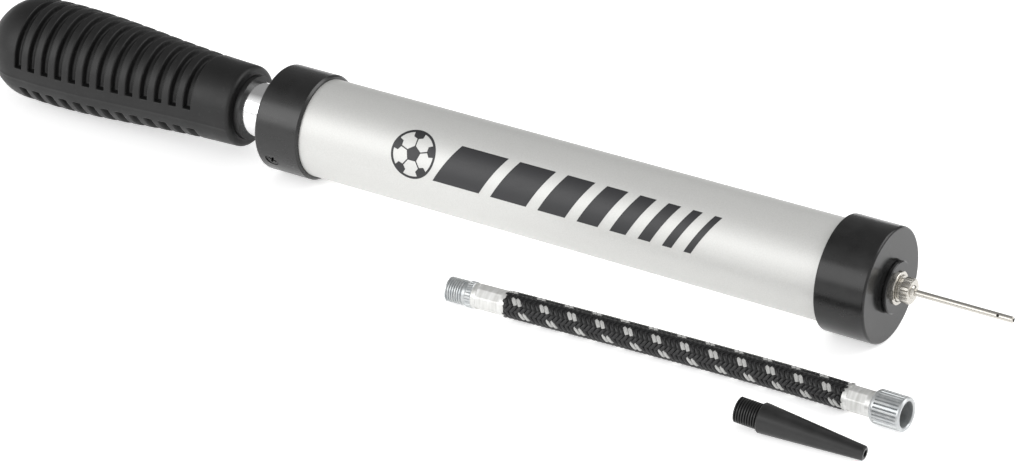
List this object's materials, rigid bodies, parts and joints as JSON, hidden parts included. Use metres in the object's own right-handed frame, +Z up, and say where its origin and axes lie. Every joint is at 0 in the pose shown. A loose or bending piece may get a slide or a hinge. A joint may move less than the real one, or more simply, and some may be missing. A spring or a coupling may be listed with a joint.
{
  "type": "ball inflation pump",
  "caption": "Hand pump with aluminium barrel, ribbed rubber handle on a sliding rod, fitted needle, loose braided hose with metal ends and loose cone nozzle.",
  "frame": {"origin": "on the pump's axis, where the needle's tube leaves its hub", "axes": "+X along the pump's axis to the needle's tip, +Z up with the pump lying on a table, the loose hose and nozzle on the -Y side"},
  "size_m": [0.3738, 0.0897, 0.0362],
  "materials": {
    "anodised_aluminium": "satin anodised",
    "polished_rod": "polished",
    "cap_plastic": "satin",
    "outlet_plastic": "gloss",
    "grip_rubber": "matte",
    "nickel": "nickel plated",
    "zinc_steel": "zinc plated",
    "ferrule_aluminium": "crimped, satin",
    "black_screw": "black oxide",
    "hose_textile": "braided",
    "seal_rubber": "moulded",
    "guide_plastic": "natural",
    "core_plastic": "moulded",
    "nozzle_plastic": "satin",
    "spring_steel": "bright"
  },
  "bodies": {
    "barrel": {"barrel_tube": "anodised_aluminium", "top_cap": "cap_plastic", "cap_screws": "black_screw", "rod_guide_bush": "guide_plastic", "top_buffer": "seal_rubber", "outlet_cap": "outlet_plastic", "barrel_gasket": "seal_rubber", "outlet_bush": "nickel", "valve_spring": "spring_steel"},
    "valve": {"check_valve": "seal_rubber"},
    "piston_ring": {"piston_ring": "seal_rubber"},
    "plunger": {"rod_tube": "polished_rod", "rod_plug": "guide_plastic", "piston_body": "guide_plastic", "piston_screw": "zinc_steel", "handle_core": "core_plastic", "handle_pin": "spring_steel", "grip": "grip_rubber"},
    "outlet_seal": {"outlet_seal": "seal_rubber"},
    "needle": {"needle_hub": "nickel", "needle_tube": "nickel"},
    "hose": {"hose_male_fitting": "zinc_steel", "hose_ferrule_a": "ferrule_aluminium", "hose_liner": "seal_rubber", "hose_braid": "hose_textile", "hose_ferrule_b": "ferrule_aluminium", "hose_tail": "zinc_steel", "nut_seal": "seal_rubber"},
    "hose_nut": {"hose_nut": "zinc_steel"},
    "nozzle": {"nozzle_adapter": "nozzle_plastic"}
  },
  "joints": [
    {"name": "plunger_slide", "type": "slide", "parent": "barrel", "child": "piston_ring", "axis": [-1, 0, 0], "range_m": [-0.01, 0.156]},
    {"name": "plunger_spin", "type": "hinge", "parent": "piston_ring", "child": "plunger", "pos_m": [-0.041, 0, 0], "axis": [1, 0, 0], "continuous": true},
    {"name": "check_valve_lift", "type": "slide", "parent": "barrel", "child": "valve", "axis": [1, 0, 0], "range_m": [0, 0.0015], "stiffness_N_per_m": 40, "springref_m": -0.002, "deforming": ["valve_spring"]},
    {"name": "needle_out", "type": "slide", "parent": "barrel", "child": "outlet_seal", "axis": [1, 0, 0], "range_m": [0, 0.00635]},
    {"name": "needle_turn", "type": "hinge", "parent": "outlet_seal", "child": "needle", "pos_m": [0, 0, 0], "axis": [1, 0, 0], "range_deg": [0, 2882]},
    {"name": "hose_lift", "type": "slide", "parent": "barrel", "child": "hose", "axis": [0, 0, 1], "range_m": [0, 0.1]},
    {"name": "hose_nut_spin", "type": "hinge", "parent": "hose", "child": "hose_nut", "pos_m": [0.01756, -0.04516, -0.01274], "axis": [0.9976, -0.0609, 0.032], "continuous": true},
    {"name": "nozzle_lift", "type": "slide", "parent": "barrel", "child": "nozzle", "axis": [0, 0, 1], "range_m": [0, 0.1]}
  ],
  "couplings": [
    {"joint": "needle_turn", "follows": "needle_out", "rad_per_m": 7915.8}
  ]
}
